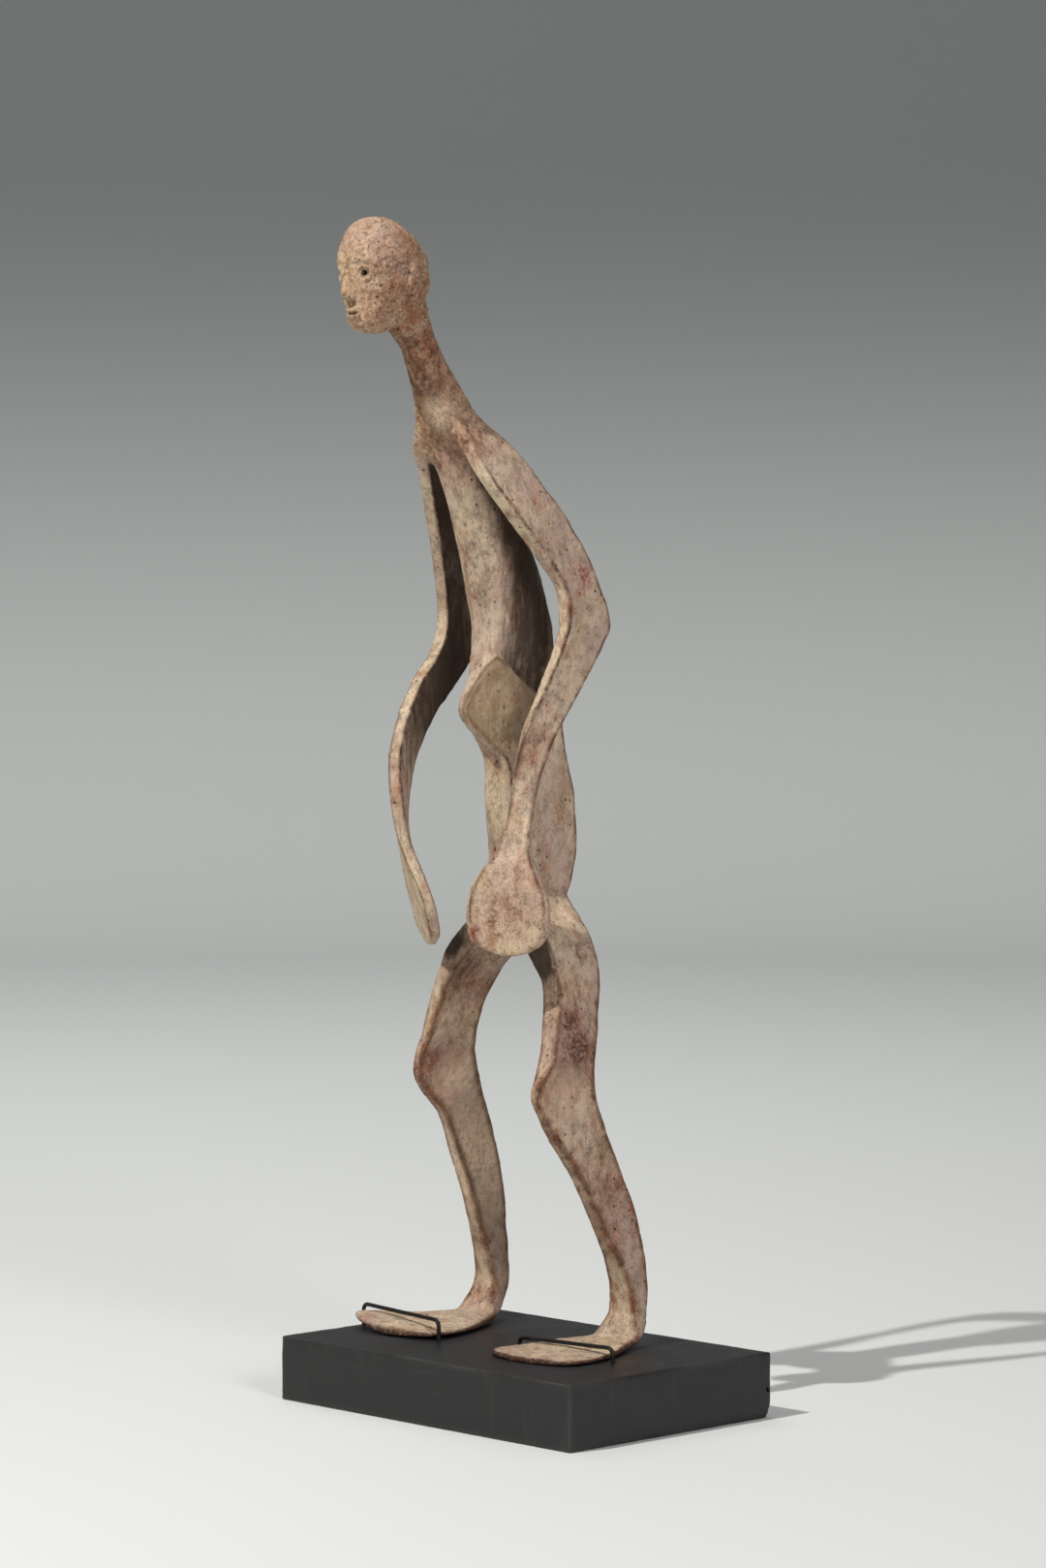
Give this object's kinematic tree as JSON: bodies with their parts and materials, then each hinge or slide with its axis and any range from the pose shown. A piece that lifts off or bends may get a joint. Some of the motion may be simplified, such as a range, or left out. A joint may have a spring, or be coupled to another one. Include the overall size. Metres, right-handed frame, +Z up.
{
  "type": "mumuye figure",
  "caption": "Slender carved wooden standing figure with bent arms held free of the body and flat hands, on a low black block with wire staples over its feet.",
  "frame": {"origin": "centre of the block's underside", "axes": "+Z up, -Y the way the figure faces, +X towards the figure's left"},
  "size_m": [0.32, 0.28, 0.908],
  "materials": {
    "block_paint": "satin black paint, scuffed",
    "figure_wood": "worn matt kaolin over reddish wood",
    "staple_iron": "blackened"
  },
  "bodies": {
    "root": {"block": "block_paint", "figure": "figure_wood", "staple_left": "staple_iron", "staple_right": "staple_iron"}
  },
  "joints": []
}
